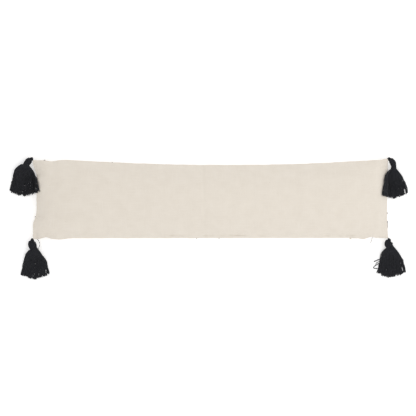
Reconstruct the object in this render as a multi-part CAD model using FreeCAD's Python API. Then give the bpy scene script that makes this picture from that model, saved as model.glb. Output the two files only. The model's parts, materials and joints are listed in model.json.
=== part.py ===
"""Extra-long lumbar throw pillow: zipped cotton cover, stuffed insert and four corner tassels.

Millimetres.  The pillow lies on its front panel: +X runs along its length, +Y across its height towards
the sewn long seam (the zip is in the -Y seam) and +Z up.  The origin is the middle of the flat underside.
"""
import FreeCAD, Part
import math
import os

Vector = FreeCAD.Vector

# ---- the stuffed pillow -------------------------------------------------------------------------------
HALF_LENGTH = 598.0        # to the corners
HALF_HEIGHT = 133.0        # to the corners
TOP_PULL = 20.0            # how far the sewn long seam is drawn in at mid-length
END_PULL = 7.0             # how far each end seam is drawn in at mid-height
SEAM_Z = 48.0              # height of the long seams above the floor
END_Z = 36.0               # height of the end seams at their middles
CORNER_Z = 30.0            # height of the four corners
CROWN_UP = 72.0            # rise of the back panel above the seams
CROWN_DOWN = 78.0          # drop of the front panel below the seams, before the floor flattens it
END_FALL = 8               # power of the fall towards the ends
CROWN_POWER = 0.7          # bluntness of the edges
DROOP_START = 0.93         # share of the half length where the long seams start to droop
FLOOR_DIP = 0.4            # cloth pressed flat by the floor

COVER_THICK = 1.2
INSERT_THICK = 0.8
LAYER_GAP = 1.0            # air between cover, insert and fill
INSERT_INSET = 13.0        # the insert's seams stay this far inside the cover's

# Every layer of cloth is a net of flat facets on these stations, so that any two layers stay parallel
STATIONS_LONG = 25
STATIONS_ACROSS = 13

# ---- seam allowance, overlocked inside the cover -------------------------------------------------------
ALLOWANCE_OUTER = 4.0      # from the outline
ALLOWANCE_INNER = 12.0
ALLOWANCE_HALF_THICK = 0.8
LONG_SEAM_END = 0.96       # share of the half length that the sewn strip covers
END_SEAM_END = 0.82

# ---- concealed zip in the -Y seam ----------------------------------------------------------------------
ZIP_LIP_GAP = 1.6          # slit between the two cover panels
ZIP_HALF_TAPE = 490.0
ZIP_HALF_TRAVEL = 470.0
ZIP_PLATEAU = 0.86         # share of the half length over which the slit stays open
TAPE_DEPTH = 8.0           # tape face, inside the outline
TAPE_THICK = 0.6
TAPE_WIDTH = 10.0
TAPE_EDGE = 0.9            # from the slit's middle to the tape
COIL_RADIUS = 1.1
COIL_OFFSET = 1.7          # from the slit's middle to the coil's axis
COIL_DEPTH = 6.8
STOP_LENGTH = 3.0
STOP_THICK = 0.7
STOP_PLAY = 0.1
STOP_CLEAR = 7.0           # from the end of the slider's travel to the stop's middle

SLIDER_LENGTH = 11.0
SLIDER_HALF_WIDTH = 4.0
PLATE_THICK = 1.0
FRONT_PLATE_DEPTH = 4.2
BACK_PLATE_DEPTH = 9.0
FLANGE_THICK = 0.8
FLANGE_REACH = 2.0
WEB_THICK = 0.7
WEB_LENGTH = 6.0
BAIL_THICK = 0.8
BAIL_HALF_LENGTH = 3.0
BAIL_REACH = 3.6           # outside the seam
BAIL_WALL = 0.8
BAIL_SIDE = 1.3
TAB_AXIS_REACH = 1.9       # hinge axis of the pull tab, outside the seam
TAB_LENGTH = 22.0
TAB_HALF_WIDTH = 2.6
TAB_THICK = 1.0
TAB_EYE_LENGTH = 3.8
TAB_EYE_HALF_WIDTH = 1.1

# ---- tassels ------------------------------------------------------------------------------------------
ANCHOR_OUT = 3.5           # anchor thread outside the corner, along X and along Y
ANCHOR_RADIUS = 0.7
ANCHOR_ARM_RISE = 2.2
ANCHOR_ARM_INSIDE = 3.0
LOOP_YARN_RADIUS = 0.8
LOOP_RADIUS = 2.2          # centre line of the loop's round ends
LOOP_CENTRES = 4.0         # between the centres of the loop's round ends
TIP_Z = 7.5
BINDING_LENGTH = 6.0
BINDING_WALL = 1.6
BINDING_PLAY = 0.05
# Where each tassel's neck and tip lie, from its corner, along X and Y, and how high its neck is
TASSELS = {
    "tl": {"corner": (-1, 1), "neck": (-29.0, -25.0), "neck_z": 26.0, "tip": (-39.5, -121.0)},
    "tr": {"corner": (1, 1), "neck": (19.5, -32.0), "neck_z": 26.0, "tip": (39.5, -127.0)},
    "bl": {"corner": (-1, -1), "neck": (4.0, -37.0), "neck_z": 19.0, "tip": (6.0, -135.0)},
    "br": {"corner": (1, -1), "neck": (11.0, -31.0), "neck_z": 19.0, "tip": (13.0, -129.0)},
}
# Distance along the head's axis as a share of its length, half width and half thickness
HEAD_SECTIONS = [(0.0, 3.0, 2.9), (0.14, 7.0, 6.4), (0.45, 10.0, 8.0), (0.8, 8.4, 7.0), (1.0, 6.6, 5.8)]
SKIRT_SECTIONS = [(0.0, 6.6, 5.8), (0.08, 16.0, 7.0), (0.25, 26.0, 8.0), (0.7, 34.0, 7.5), (1.0, 37.0, 6.8)]


def smooth_step(t):
    """0 below t = 0, 1 above t = 1, smooth between."""
    t = min(max(t, 0.0), 1.0)
    return t * t * (3.0 - 2.0 * t)


def stations(count):
    """Values from -1 to 1, closer together towards both ends."""
    return [math.sin(math.pi / 2 * (2.0 * i / (count - 1) - 1.0)) for i in range(count)]


def crown(u, v):
    """0 on the outline and 1 over the middle."""
    return (max(1.0 - u ** END_FALL, 0.0) * max(1.0 - v ** 2, 0.0)) ** CROWN_POWER


def seam_height(u, v):
    """Height of the surface that holds all four seams."""
    droop = smooth_step((abs(u) - DROOP_START) / (1.0 - DROOP_START))
    end_height = CORNER_Z + (END_Z - CORNER_Z) * (1.0 - v ** 2)
    return SEAM_Z + (end_height - SEAM_Z) * droop


def lip_half_gap(u, v):
    """Half of the zip's slit, which is only in the -Y seam."""
    along = 1.0 - smooth_step((abs(u) - ZIP_PLATEAU) / (DROOP_START - ZIP_PLATEAU))
    across = ((1.0 - v) / 2.0) ** 8
    return ZIP_LIP_GAP / 2.0 * along * across


def plan_point(u, v, inset):
    """Plan position of a point of a layer whose outline is inset from the cover's."""
    length = HALF_LENGTH - inset
    height = HALF_HEIGHT - inset
    x = u * (length - END_PULL * (1.0 - v ** 2) * u ** 2)
    y = v * height - TOP_PULL * (1.0 - u ** 2) ** 2 * ((1.0 + v) / 2.0) ** 2
    return x, y


def skin_point(u, v, side, depth, inset, slit):
    """A point of the skin that lies depth inside the cover's outer skin; side is 1 above, -1 below."""
    x, y = plan_point(u, v, inset)
    z = seam_height(u, v)
    if slit:
        z += side * lip_half_gap(u, v)
    if side > 0:
        z += (CROWN_UP - depth) * crown(u, v)
    else:
        z -= (CROWN_DOWN - depth) * crown(u, v)
        z = max(z, depth - FLOOR_DIP)
    return Vector(x, y, z)


def skin(side, depth, inset, slit):
    """Net of points of one side of a layer: a row across the height at every station along the length."""
    us = stations(STATIONS_LONG)
    vs = stations(STATIONS_ACROSS)
    return [[skin_point(u, v, side, depth, inset, slit) for v in vs] for u in us]


def facets(net):
    """Flat triangles between the points of a net, split along the diagonal that points to its corner."""
    faces = []
    for j, (row, after) in enumerate(zip(net, net[1:])):
        for i in range(len(row) - 1):
            if (2 * j < len(net) - 1) == (2 * i < len(row) - 1):
                halves = [row[i], after[i], after[i + 1]], [row[i], after[i + 1], row[i + 1]]
            else:
                halves = [row[i], after[i], row[i + 1]], [after[i], after[i + 1], row[i + 1]]
            faces += [Part.Face(Part.makePolygon(corners + corners[:1])) for corners in halves]
    return faces


def outline(net):
    """The outermost points of a net, as a closed loop."""
    sides = [row[-1] for row in net[:-1]], net[-1][:0:-1], [row[0] for row in net[:0:-1]]
    return net[0][:-1] + sides[0] + sides[1] + sides[2] + net[0][:1]


def solid_of(faces):
    """Closed solid from faces that meet along their edges."""
    shell = Part.Shell(faces)
    shell.sewShape()
    solid = Part.Solid(shell)
    if solid.Volume < 0:
        solid.reverse()
    return solid


def cloth_panel(side, depth, thickness, inset, slit=False):
    """One cloth panel: two skins joined by a strip along the outline."""
    outer = skin(side, depth, inset, slit)
    inner = skin(side, depth + thickness, inset + thickness, slit)
    return solid_of(facets(outer) + facets(inner) + facets([outline(outer), outline(inner)]))


def floor_cut(shape):
    """The shape, pressed flat by the floor."""
    size = 4.0 * HALF_LENGTH
    below = Part.makeBox(size, size, 50.0, Vector(-size / 2, -size / 2, -50.0))
    return shape.cut(below)


def fill_body(depth, inset):
    """The stuffing, a closed body inside the insert."""
    return solid_of(facets(skin(1, depth, inset, False)) + facets(skin(-1, depth, inset, False)))


def seam_points(edge, inset, reach, lift):
    """Points along one seam of a layer, lifted by this much: edge is '+y', '-y', '+x' or '-x'."""
    points = []
    for station in stations(STATIONS_LONG):
        t = reach * station
        u, v = {"+y": (t, 1.0), "-y": (t, -1.0), "+x": (1.0, t), "-x": (-1.0, t)}[edge]
        x, y = plan_point(u, v, inset)
        points.append(Vector(x, y, seam_height(u, v) + lift))
    return points


def seam_strip(edge, outer_inset, inner_inset, reach, half_thick):
    """The two allowances of a seam, overlocked together: a flat strip inside the outline."""
    corners = [(outer_inset, -1), (outer_inset, 1), (inner_inset, 1), (inner_inset, -1)]
    lines = [seam_points(edge, inset, reach, side * half_thick) for inset, side in corners]
    faces = facets(lines + lines[:1])
    for end in (0, -1):
        loop = [line[end] for line in lines]
        faces.append(Part.Face(Part.makePolygon(loop + loop[:1])))
    return solid_of(faces)


def seam_strips(edges, outer_inset, inner_inset):
    reaches = {"+y": LONG_SEAM_END, "-y": LONG_SEAM_END, "+x": END_SEAM_END, "-x": END_SEAM_END}
    strips = [seam_strip(e, outer_inset, inner_inset, reaches[e], ALLOWANCE_HALF_THICK) for e in edges]
    return Part.makeCompound(strips)


# ---- zip ----------------------------------------------------------------------------------------------
def zip_box(x0, x1, depth0, depth1, z0, z1):
    """A box in the zip's frame: depth runs inwards from the -Y outline and z from the slit's middle."""
    corner = Vector(x0, depth0 - HALF_HEIGHT, SEAM_Z + z0)
    return Part.makeBox(x1 - x0, depth1 - depth0, z1 - z0, corner)


def zip_tape(side):
    z0, z1 = sorted((side * TAPE_EDGE, side * (TAPE_EDGE + TAPE_WIDTH)))
    return zip_box(-ZIP_HALF_TAPE, ZIP_HALF_TAPE, TAPE_DEPTH, TAPE_DEPTH + TAPE_THICK, z0, z1)


def zip_coil(side):
    start = Vector(-ZIP_HALF_TAPE, COIL_DEPTH - HALF_HEIGHT, SEAM_Z + side * COIL_OFFSET)
    return Part.makeCylinder(COIL_RADIUS, 2.0 * ZIP_HALF_TAPE, start, Vector(1, 0, 0))


def zip_stop(x):
    """A clip bent round both coils that ends the slider's travel."""
    x0, x1 = x - STOP_LENGTH / 2.0, x + STOP_LENGTH / 2.0
    inner = COIL_OFFSET + COIL_RADIUS + STOP_PLAY
    outer = inner + STOP_THICK
    face = COIL_DEPTH - COIL_RADIUS - STOP_PLAY
    clip = zip_box(x0, x1, face - STOP_THICK, face, -outer, outer)
    for z0, z1 in ((-outer, -inner), (inner, outer)):
        clip = clip.fuse(zip_box(x0, x1, face, TAPE_DEPTH - STOP_PLAY, z0, z1))
    return clip.removeSplitter()


def zip_slider(x):
    """Two plates joined by a web between the coils, flanges outside them and a bail for the tab."""
    half = SLIDER_LENGTH / 2.0
    width = SLIDER_HALF_WIDTH
    front_inner = FRONT_PLATE_DEPTH + PLATE_THICK
    body = zip_box(x - half, x + half, FRONT_PLATE_DEPTH, front_inner, -width, width)
    body = body.fuse(zip_box(x - half, x + half, BACK_PLATE_DEPTH, BACK_PLATE_DEPTH + PLATE_THICK, -width, width))
    for side in (1, -1):
        z0, z1 = sorted((side * width, side * (width - FLANGE_THICK)))
        body = body.fuse(zip_box(x - half, x + half, front_inner, front_inner + FLANGE_REACH, z0, z1))
    web = zip_box(x - WEB_LENGTH / 2, x + WEB_LENGTH / 2, front_inner, BACK_PLATE_DEPTH,
                  -WEB_THICK / 2, WEB_THICK / 2)
    bail = zip_box(x - BAIL_HALF_LENGTH, x + BAIL_HALF_LENGTH, -BAIL_REACH, FRONT_PLATE_DEPTH,
                   -BAIL_THICK / 2, BAIL_THICK / 2)
    opening = zip_box(x - BAIL_HALF_LENGTH + BAIL_SIDE, x + BAIL_HALF_LENGTH - BAIL_SIDE,
                      -BAIL_REACH + BAIL_WALL, -TAB_AXIS_REACH + (BAIL_REACH - BAIL_WALL - TAB_AXIS_REACH),
                      -BAIL_THICK, BAIL_THICK)
    return body.fuse(web).fuse(bail.cut(opening)).removeSplitter()


def zip_pull_tab(x):
    """Flat tab with an eye round the bail; its crossbar is the hinge pin."""
    y0 = -TAB_AXIS_REACH - TAB_THICK / 2
    y1 = -TAB_AXIS_REACH + TAB_THICK / 2
    plate = zip_box(x, x + TAB_LENGTH - TAB_HALF_WIDTH, y0, y1, -TAB_HALF_WIDTH, TAB_HALF_WIDTH)
    tip_centre = Vector(x + TAB_LENGTH - TAB_HALF_WIDTH, y0 - HALF_HEIGHT, SEAM_Z)
    plate = plate.fuse(Part.makeCylinder(TAB_HALF_WIDTH, TAB_THICK, tip_centre, Vector(0, 1, 0)))
    eye = zip_box(x - 1.0, x + TAB_THICK / 2 + TAB_EYE_LENGTH, y0 - 1.0, y1 + 1.0,
                  -TAB_EYE_HALF_WIDTH, TAB_EYE_HALF_WIDTH)
    pin_start = Vector(x, -TAB_AXIS_REACH - HALF_HEIGHT, SEAM_Z - TAB_HALF_WIDTH)
    pin = Part.makeCylinder(TAB_THICK / 2, 2.0 * TAB_HALF_WIDTH, pin_start, Vector(0, 0, 1))
    return plate.cut(eye).fuse(pin).removeSplitter()


# ---- tassels ------------------------------------------------------------------------------------------
def hang_placement(start, end):
    """Frame at start whose -Y points to end and whose X is level."""
    along = (end - start).normalize()
    level = along.cross(Vector(0, 0, 1)).normalize()
    if level.x < 0:
        level = -level
    rotation = FreeCAD.Rotation(level, -along, level.cross(-along), "YXZ")
    return FreeCAD.Placement(start, rotation)


def ellipse_wire(distance, half_width, half_thick):
    """An ellipse across -Y at this distance, wider along X than along Z."""
    centre = Vector(0, -distance, 0)
    ellipse = Part.Ellipse(centre + Vector(half_width, 0, 0), centre + Vector(0, 0, half_thick), centre)
    return Part.Wire(ellipse.toShape())


def bundle(sections, start, length):
    """A closed bundle of yarn lofted through ellipses along -Y."""
    wires = [ellipse_wire(start + share * length, w, t) for share, w, t in sections]
    return Part.makeLoft(wires, True)


def corner_points(spec):
    """Anchor, hinge, neck and tip of a tassel."""
    sx, sy = spec["corner"]
    corner = Vector(sx * HALF_LENGTH, sy * HALF_HEIGHT, CORNER_Z)
    anchor = corner + Vector(sx * ANCHOR_OUT, sy * ANCHOR_OUT, 0)
    neck = Vector(corner.x + spec["neck"][0], corner.y + spec["neck"][1], spec["neck_z"])
    tip = Vector(corner.x + spec["tip"][0], corner.y + spec["tip"][1], TIP_Z)
    level = Vector(neck.x - anchor.x, neck.y - anchor.y, 0).normalize()
    hinge = anchor + level * (LOOP_CENTRES + LOOP_RADIUS)
    return anchor, level, hinge, neck, tip


def anchor_thread(spec):
    """Thread shank at the corner: an upright that the loop turns on, held by two arms."""
    sx, sy = spec["corner"]
    anchor = corner_points(spec)[0]
    rise = Vector(0, 0, ANCHOR_ARM_RISE)
    shank = Part.makeCylinder(ANCHOR_RADIUS, 2 * ANCHOR_ARM_RISE, anchor - rise)
    inwards = Vector(-sx, -sy, 0).normalize()
    length = math.hypot(ANCHOR_OUT, ANCHOR_OUT) + ANCHOR_ARM_INSIDE
    for end in (anchor - rise, anchor + rise):
        shank = shank.fuse(Part.makeCylinder(ANCHOR_RADIUS, length, end, inwards))
        shank = shank.fuse(Part.makeSphere(ANCHOR_RADIUS, end))
    return shank


def hanging_loop(spec):
    """Flat yarn loop: turns on the anchor thread at one end and holds the tassel's fold at the other."""
    anchor, level, hinge, neck, tip = corner_points(spec)
    side = Vector(-level.y, level.x, 0) * LOOP_RADIUS
    far = anchor + level * LOOP_CENTRES
    path = Part.Wire([
        Part.makeLine(anchor + side, far + side),
        Part.Arc(far + side, far + level * LOOP_RADIUS, far - side).toShape(),
        Part.makeLine(far - side, anchor - side),
        Part.Arc(anchor - side, anchor - level * LOOP_RADIUS, anchor + side).toShape(),
    ])
    profile = Part.Wire(Part.Circle(anchor + side, level, LOOP_YARN_RADIUS).toShape())
    return path.makePipeShell([profile], True, True)


def tassel_head(spec):
    """Folded yarns: a small fold through the loop, the knotted head and the neck under the binding."""
    anchor, level, hinge, neck, tip = corner_points(spec)
    placement = hang_placement(hinge, neck)
    start = LOOP_RADIUS
    length = (neck - hinge).Length - start - BINDING_LENGTH / 2
    head = bundle(HEAD_SECTIONS, start, length)
    neck_size = HEAD_SECTIONS[-1][1:]
    head = head.fuse(bundle([(0.0,) + neck_size, (1.0,) + neck_size], start + length, BINDING_LENGTH))
    head.Placement = placement
    across = placement.Rotation.multVec(Vector(1, 0, 0))
    fold = Part.makeTorus(LOOP_RADIUS, LOOP_YARN_RADIUS, hinge, across)
    return head.fuse(fold).removeSplitter()


def neck_binding(spec):
    """Yarn wrapped round the neck: a sleeve."""
    anchor, level, hinge, neck, tip = corner_points(spec)
    start = (neck - hinge).Length - BINDING_LENGTH / 2
    width, thick = HEAD_SECTIONS[-1][1:]
    sleeve = []
    for grow in (BINDING_WALL, BINDING_PLAY):
        section = (width + grow, thick + grow)
        sleeve.append(bundle([(0.0,) + section, (1.0,) + section], start + 0.2, BINDING_LENGTH - 0.4))
    binding = sleeve[0].cut(sleeve[1])
    binding.Placement = hang_placement(hinge, neck)
    return binding


def tassel_skirt(spec):
    """The cut yarns, spread flat from the neck down to the floor."""
    anchor, level, hinge, neck, tip = corner_points(spec)
    skirt = bundle(SKIRT_SECTIONS, BINDING_LENGTH / 2, (tip - neck).Length - BINDING_LENGTH / 2)
    skirt.Placement = hang_placement(neck, tip)
    return skirt.cut(neck_binding(spec)).cut(tassel_head(spec))


def largest_solid(shape):
    return max(shape.Solids, key=lambda solid: solid.Volume)


# ---- the whole pillow ---------------------------------------------------------------------------------
def sub_parts():
    insert_depth = COVER_THICK + LAYER_GAP
    fill_depth = insert_depth + INSERT_THICK + LAYER_GAP
    fill_inset = INSERT_INSET + INSERT_THICK + LAYER_GAP
    parts = {
        "cover_back_panel": cloth_panel(1, 0.0, COVER_THICK, 0.0, slit=True),
        "cover_front_panel": floor_cut(cloth_panel(-1, 0.0, COVER_THICK, 0.0, slit=True)),
        "cover_seam_allowance": seam_strips(["+y", "+x", "-x"], ALLOWANCE_OUTER, ALLOWANCE_INNER),
        "insert_back_panel": cloth_panel(1, insert_depth, INSERT_THICK, INSERT_INSET),
        "insert_front_panel": cloth_panel(-1, insert_depth, INSERT_THICK, INSERT_INSET),
        "fibre_fill": fill_body(fill_depth, fill_inset),
        "zipper_tape_upper": zip_tape(1),
        "zipper_tape_lower": zip_tape(-1),
        "zipper_coil_upper": zip_coil(1),
        "zipper_coil_lower": zip_coil(-1),
        "zipper_stop_closed": zip_stop(ZIP_HALF_TRAVEL + STOP_CLEAR + STOP_LENGTH / 2),
        "zipper_stop_open": zip_stop(-ZIP_HALF_TRAVEL - STOP_CLEAR - STOP_LENGTH / 2),
        "zipper_slider": zip_slider(ZIP_HALF_TRAVEL),
        "zipper_pull_tab": zip_pull_tab(ZIP_HALF_TRAVEL),
    }
    for name, spec in TASSELS.items():
        parts["tassel_" + name + "_anchor_thread"] = anchor_thread(spec)
        parts["tassel_" + name + "_hanging_loop"] = hanging_loop(spec)
        parts["tassel_" + name + "_head"] = tassel_head(spec)
        parts["tassel_" + name + "_neck_binding"] = neck_binding(spec)
        parts["tassel_" + name + "_skirt"] = largest_solid(tassel_skirt(spec))
    return parts


os.makedirs("parts", exist_ok=True)
for node, shape in sub_parts().items():
    shape.exportStep("parts/" + node + ".step")
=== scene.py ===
"""Looks of the long lumbar throw pillow: sewn and stuffed cover, insert, concealed zip, four corner tassels.

Metres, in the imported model's frame: +X along the pillow, +Y across it towards the sewn long seam, +Z up.
"""

import json
import math

import bpy
import numpy as np
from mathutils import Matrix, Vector, noise
from mathutils.bvhtree import BVHTree


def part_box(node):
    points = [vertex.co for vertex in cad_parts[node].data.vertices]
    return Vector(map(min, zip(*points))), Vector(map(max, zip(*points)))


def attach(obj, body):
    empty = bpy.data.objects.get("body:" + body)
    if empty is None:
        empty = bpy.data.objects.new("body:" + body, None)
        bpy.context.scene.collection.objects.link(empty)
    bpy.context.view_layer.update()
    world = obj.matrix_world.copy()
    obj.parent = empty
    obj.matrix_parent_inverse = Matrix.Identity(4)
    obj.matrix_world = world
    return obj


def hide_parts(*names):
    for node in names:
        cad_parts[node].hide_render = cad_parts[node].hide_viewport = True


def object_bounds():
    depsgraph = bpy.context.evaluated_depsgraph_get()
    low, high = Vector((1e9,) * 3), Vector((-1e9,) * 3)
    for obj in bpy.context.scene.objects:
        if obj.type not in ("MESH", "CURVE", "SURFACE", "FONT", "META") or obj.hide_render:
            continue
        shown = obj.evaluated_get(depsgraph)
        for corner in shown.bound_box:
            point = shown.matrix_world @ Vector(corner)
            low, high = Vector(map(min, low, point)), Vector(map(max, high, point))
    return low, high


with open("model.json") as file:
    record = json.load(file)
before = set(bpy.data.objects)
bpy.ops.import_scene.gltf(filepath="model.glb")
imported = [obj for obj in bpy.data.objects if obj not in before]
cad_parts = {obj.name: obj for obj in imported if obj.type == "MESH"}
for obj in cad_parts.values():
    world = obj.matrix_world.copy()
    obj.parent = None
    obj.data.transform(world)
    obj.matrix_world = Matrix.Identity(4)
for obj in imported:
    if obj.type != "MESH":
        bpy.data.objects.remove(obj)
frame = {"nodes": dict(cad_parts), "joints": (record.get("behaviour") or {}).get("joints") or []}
CAD_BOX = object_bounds()
JOINTS = {joint["name"]: joint for joint in frame["joints"]}

# ---- the stuffed cover ----
COVER_LOW, COVER_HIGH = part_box("cover_back_panel")
HALF_LENGTH = COVER_HIGH.x
HALF_HEIGHT = -COVER_LOW.y
SEAM_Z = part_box("zipper_coil_upper")[0].z - 0.0006
FLAT_LENGTH = 1.216           # between the seams, before the cover is stuffed
FLAT_HEIGHT = 0.300
TOP_PULL = 0.0185             # the sewn long seam is drawn in this far near mid-length
PULL_CENTRE = 0.12            # where it is drawn in most, as a share of the half length
LEFT_PULL = 0.0125
RIGHT_PULL = 0.0040
TOP_LEAN = 0.0015             # the sewn seam and the zip's seam aren't quite parallel
BOTTOM_LEAN = 0.0007
EDGE_WAVER = 0.0006
# Bumps and dents of the long seams: place along the pillow, how far towards +Y, and half their length
TOP_WAVES = [(-0.532, -0.0038, 0.016), (-0.476, 0.0018, 0.030)]
BOTTOM_WAVES = [(-0.553, 0.0042, 0.013), (-0.512, -0.0042, 0.030), (-0.583, -0.0030, 0.014),
                (0.513, -0.0042, 0.013), (0.541, 0.0030, 0.013)]
TOP_RIGHT_RISE = 0.0030
TOP_LEFT_FALL = 0.0012
BOTTOM_RIGHT_FALL = 0.0010
CORNER_EAR = 0.0012           # each corner's tip reaches this far towards its anchor thread, along X and Y
END_Z = 0.036
CORNER_Z = 0.030
DROOP_START = 0.93
CROWN_UP = 0.062              # before the cloth swells
CROWN_DOWN = 0.075
END_FALL = 8
CROWN_POWER = 0.7
CELLS_LONG = 204
CELLS_ACROSS = 50
# Depth of each kind of unevenness in the stuffed cloth
LONG_PUCKERS = 0.0016         # across the long seams
END_PUCKERS = 0.0022
FILL_LUMPS = 0.0010
CORNER_CRUMPLE = 0.0030
FINE_UNEVENNESS = 0.00025
FINE_CREASES = 0.0008
MIDDLE_CREASE = 0.0012        # where the pillow was folded in two
END_FOLDS = (0.0030, 0.0026)  # two soft folds from the left end
SEAM_ROLL = 0.0011            # how far the cloth stands out beside a seam
SWELL_CAP = 0.024
SWELL_FRAMES = 22
PRESSURE = 4.0
TOP_LIMIT = CAD_BOX[1].z + 0.006

# ---- zip slit ----
SLIT_HALF_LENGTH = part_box("zipper_tape_upper")[1].x
LIP_HALF_GAP = 0.0008
LIP_DEPTH = 0.0034

# ---- seam details ----
# Place on the flat-cut panel, along and across it, and length of each sliver of painted seam shade
SEAM_SLIVERS = [(-0.556, 0.150, 0.009), (-0.328, 0.150, 0.005), (-0.049, -0.150, 0.005),
                (0.026, -0.150, 0.005), (0.608, -0.050, 0.009), (0.608, -0.099, 0.028),
                (-0.608, -0.060, 0.006)]
SLIVER_RADIUS = 0.0011
SLIVER_OUT = 0.0009
THREAD_TAIL_X = 0.538
THREAD_TAIL_RADIUS = 0.0008
ALLOWANCE_START = 0.0045      # overlocked allowance, inwards from the seam
ALLOWANCE_EDGE = 0.0115

# ---- yarn ----
YARN_RADIUS = 0.00132
YARN_SIDES = 8
PLIES = 2
PLY_DEPTH = 0.17
PLY_PITCH = 0.020
SKIRT_LAYERS = 5
STRANDS_PER_LAYER = 32
STRAND_LENGTH = 0.099
STRAND_STATIONS = 36
SKIRT_DROP = 0.118            # how far below the neck a yarn's course is worked out
SKIRT_THICK = 0.0125          # height of the heap of yarns under the neck
SKIRT_THINNING = 0.0055       # how much lower the heap is at the yarns' ends
LOCK_PULL = 0.10              # how far a yarn's end leans to the middle of its lock
LOCK_UNEVENNESS = 0.0018
GAP_PLACE = 0.80              # place across the skirt, out of 1, where a gap opens near the ends
LONG_WAVE = 0.0011
SHORT_WAVE = 0.0007
HEAD_STRANDS = 21
HEAD_STATIONS = 30
HEAD_SHARES = (0, 0.10, 0.28, 0.5, 0.72, 0.9, 1)     # of the way from fold to neck
HEAD_WIDE = (0.0048, 0.0082, 0.0094, 0.0095, 0.0084, 0.0074, 0.0072)     # half width there
HEAD_THICK = (0.0034, 0.0056, 0.0068, 0.0070, 0.0062, 0.0052, 0.0050)
NECK_WIDE = 0.0092            # middle of the yarn that binds the neck
NECK_THICK = 0.0068
NECK_PAST = 0.004             # how far the head's yarns run past the neck
WRAP_TURNS = 5
WRAP_PITCH = 0.0021
WRAP_RADIUS = 0.00112
CORE_SIDES = 16
CORE_SHARE = 0.92             # size of the head's core, out of the yarns' own place
LOOP_YARN_RADIUS = 0.00150
# Height, half width and slip along the loop of each turn of its yarn
LOOP_TURNS = ((0.0012, 0.0010, 0.0), (-0.0014, 0.0024, -0.0003), (0.0013, 0.0037, 0.0003),
              (-0.0015, 0.0047, 0.0))
STITCH_RADIUS = 0.00110
FLOOR_CLEAR = 0.0003
# Half width of a skirt, left and right of its axis, at distances below the neck
FAN_LEFT = [(0.0, 0.0105), (0.004, 0.0170), (0.009, 0.0232), (0.020, 0.032), (0.040, 0.0365),
            (0.069, 0.0420), (0.085, 0.0465), (0.120, 0.053)]
FAN_RIGHT = [(0.0, 0.0105), (0.008, 0.0175), (0.020, 0.026), (0.034, 0.0350), (0.046, 0.0430),
             (0.065, 0.0475), (0.080, 0.0500), (0.120, 0.059)]
LOCKS = 17                    # the yarns of a skirt hang together in about this many locks
# For each tassel: how far its head's middle bows aside and how wide it is, its skirt's turn from straight
# down in degrees, how much nearer the corner than its neck the skirt starts, where its longest yarns are,
# and how much wider than usual its left and right halves are
TASSEL_POSE = {
    "tl": {"head_bow": (-0.0010, 0.0025), "head_width": 1.12, "turn": -2.0, "raise": 0.009, "longest": -0.3,
           "fan": (1.12, 1.08), "seed": 11},
    "tr": {"head_bow": (0.0045, 0.005), "head_width": 0.96, "turn": 1.0, "raise": 0.0, "longest": -0.1,
           "fan": (1.0, 1.0), "seed": 12},
    "bl": {"head_bow": (-0.0034, 0.0), "head_width": 1.36, "turn": -2.2, "raise": 0.002, "longest": -0.1,
           "fan": (1.0, 1.04), "seed": 13},
    "br": {"head_bow": (-0.0048, 0.001), "head_width": 1.38, "turn": 0.0, "raise": 0.002, "longest": -0.1,
           "fan": (1.0, 1.05), "seed": 14},
}
# Yarns that lie apart from a tassel: radius, then points right of its neck, below it and above the floor
LOOSE_YARNS = {
    "bl": [(0.00090, [(0.004, -0.036, 0.030), (0.011, -0.032, 0.029), (0.0165, -0.023, 0.025),
                      (0.0175, -0.014, 0.022), (0.0150, -0.006, 0.021), (0.009, -0.001, 0.020)])],
    "br": [(0.00190, [(-0.018, 0.026, 0.006), (-0.030, 0.0365, 0.003), (-0.042, 0.0425, 0.0017),
                      (-0.056, 0.0490, 0.0014)]),
           (0.00160, [(-0.026, 0.046, 0.006), (-0.0395, 0.0550, 0.003), (-0.0535, 0.0640, 0.0013),
                      (-0.0570, 0.0685, 0.0012), (-0.0530, 0.0720, 0.0012), (-0.0440, 0.0720, 0.0014)]),
           (0.00130, [(-0.022, 0.036, 0.007), (-0.0360, 0.0470, 0.004), (-0.0470, 0.0535, 0.0016),
                      (-0.0500, 0.0600, 0.0014)])],
    "tl": [(0.00080, [(-0.024, 0.034, 0.012), (-0.041, 0.046, 0.004), (-0.0455, 0.056, 0.002),
                      (-0.0400, 0.068, 0.002)])],
    "tr": [],
}

# ---- looks ----
COTTON_PITCH = 0.0011         # between yarns of the cover's weave
TICKING_PITCH = 0.0006
TAPE_PITCH = 0.0011           # between ribs of the zip's tapes, and between turns of its coils
COIL_PITCH = 0.0012
COTTON = (0.806, 0.742, 0.655, 1)
COTTON_DARK = (0.765, 0.699, 0.611, 1)
COTTON_PALE = (0.842, 0.786, 0.706, 1)
COTTON_FLECK = (0.520, 0.430, 0.330, 1)
# Dark and pale tones of each of the other materials
TICKING_TONES = (0.74, 0.74, 0.73, 1), (0.82, 0.82, 0.80, 1)
FIBRE_TONES = (0.70, 0.70, 0.70, 1), (0.86, 0.86, 0.86, 1)
CHARCOAL_TONES = (0.005, 0.0053, 0.0068, 1), (0.031, 0.0325, 0.0395, 1)
THREAD_TONES = (0.16, 0.16, 0.145, 1), (0.30, 0.30, 0.275, 1)
# Painted shade of the seams' crevices
SEAM_SHADE_TONES = (0.010, 0.010, 0.012, 1), (0.060, 0.060, 0.065, 1)
TAPE_TONES = (0.66, 0.61, 0.53, 1), (0.80, 0.75, 0.67, 1)
COIL_TONES = (0.58, 0.53, 0.45, 1), (0.82, 0.77, 0.69, 1)
LACQUER_TONES = (0.62, 0.57, 0.50, 1), (0.74, 0.69, 0.61, 1)

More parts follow.
